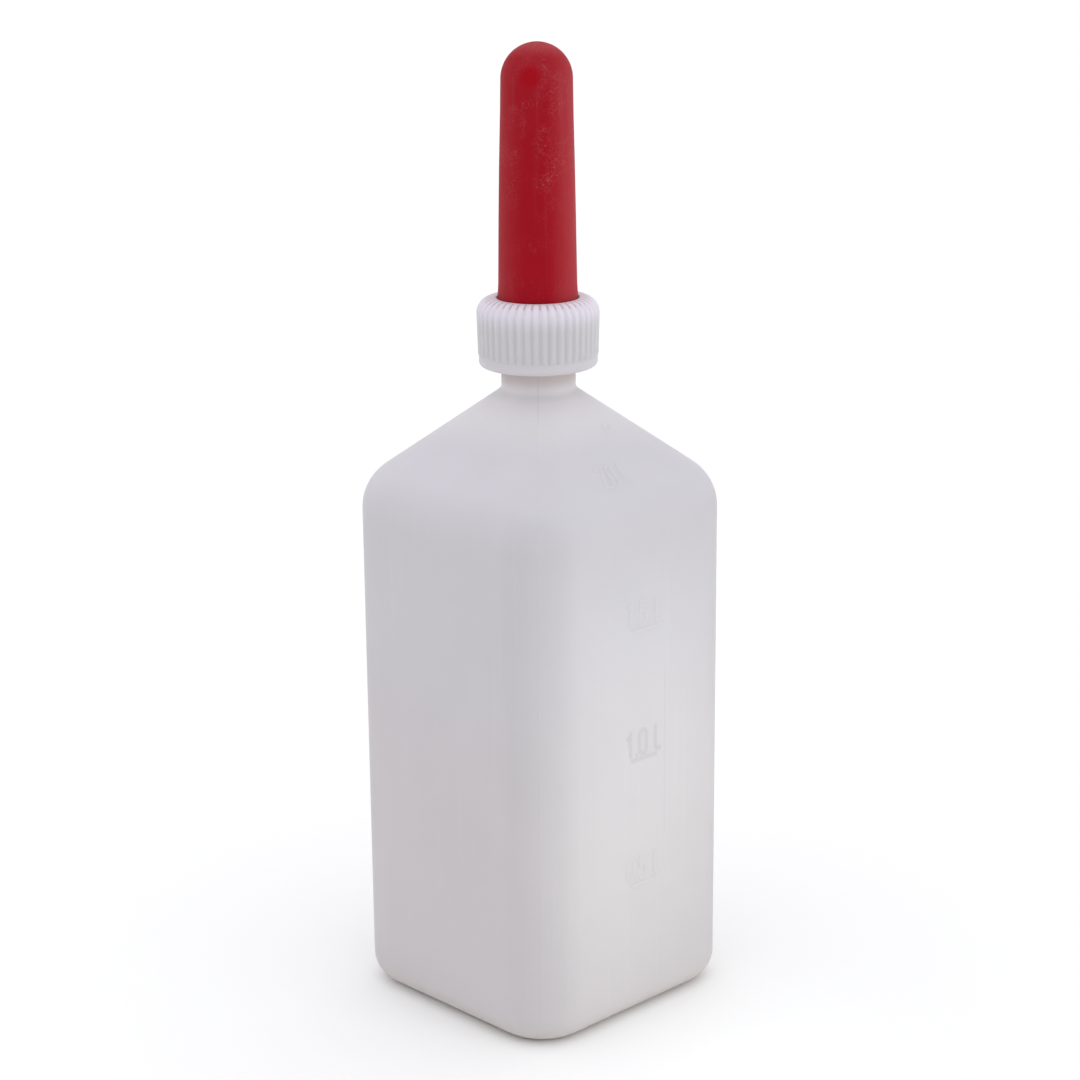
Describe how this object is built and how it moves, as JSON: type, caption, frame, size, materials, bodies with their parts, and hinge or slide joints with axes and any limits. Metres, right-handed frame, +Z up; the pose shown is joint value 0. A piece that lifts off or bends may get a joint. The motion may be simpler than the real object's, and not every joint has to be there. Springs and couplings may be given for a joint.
{
  "type": "calf feeding bottle",
  "caption": "Square two litre plastic feeding bottle with a ribbed screw cap, a long rubber teat and a ball non-return valve, for feeding milk to calves.",
  "frame": {"origin": "centre of the bottle's base, on the surface it stands on", "axes": "+Z up along the bottle and the teat, -Y out of the graduated face"},
  "size_m": [0.1054, 0.1054, 0.3579],
  "materials": {
    "bottle_plastic": "milky translucent polyethylene, satin",
    "cap_plastic": "white polyethylene, satin",
    "teat_rubber": "dull red rubber with a light dusty bloom",
    "valve_plastic": "off-white moulded plastic",
    "ball_plastic": "smooth white",
    "seal_rubber": "grey-buff rubber, dull"
  },
  "bodies": {
    "bottle": {"bottle": "bottle_plastic"},
    "teat": {"teat": "teat_rubber", "valve_plate": "valve_plastic", "valve_cage": "valve_plastic", "sealing_ring": "seal_rubber"},
    "screw_cap": {"screw_cap": "cap_plastic"},
    "valve_ball": {"valve_ball": "ball_plastic"}
  },
  "joints": [
    {"name": "teat_lift", "type": "slide", "parent": "bottle", "child": "teat", "axis": [0, 0, 1], "range_m": [0, 0.0168]},
    {"name": "cap_turn", "type": "hinge", "parent": "teat", "child": "screw_cap", "pos_m": [0, 0, 0.2542], "axis": [0, 0, 1], "range_deg": [0, 1440]},
    {"name": "ball_travel", "type": "slide", "parent": "teat", "child": "valve_ball", "axis": [0, 0, 1], "range_m": [0, 0.004]}
  ],
  "couplings": [
    {"joint": "teat_lift", "follows": "cap_turn", "m_per_rad": 0.00066845}
  ]
}
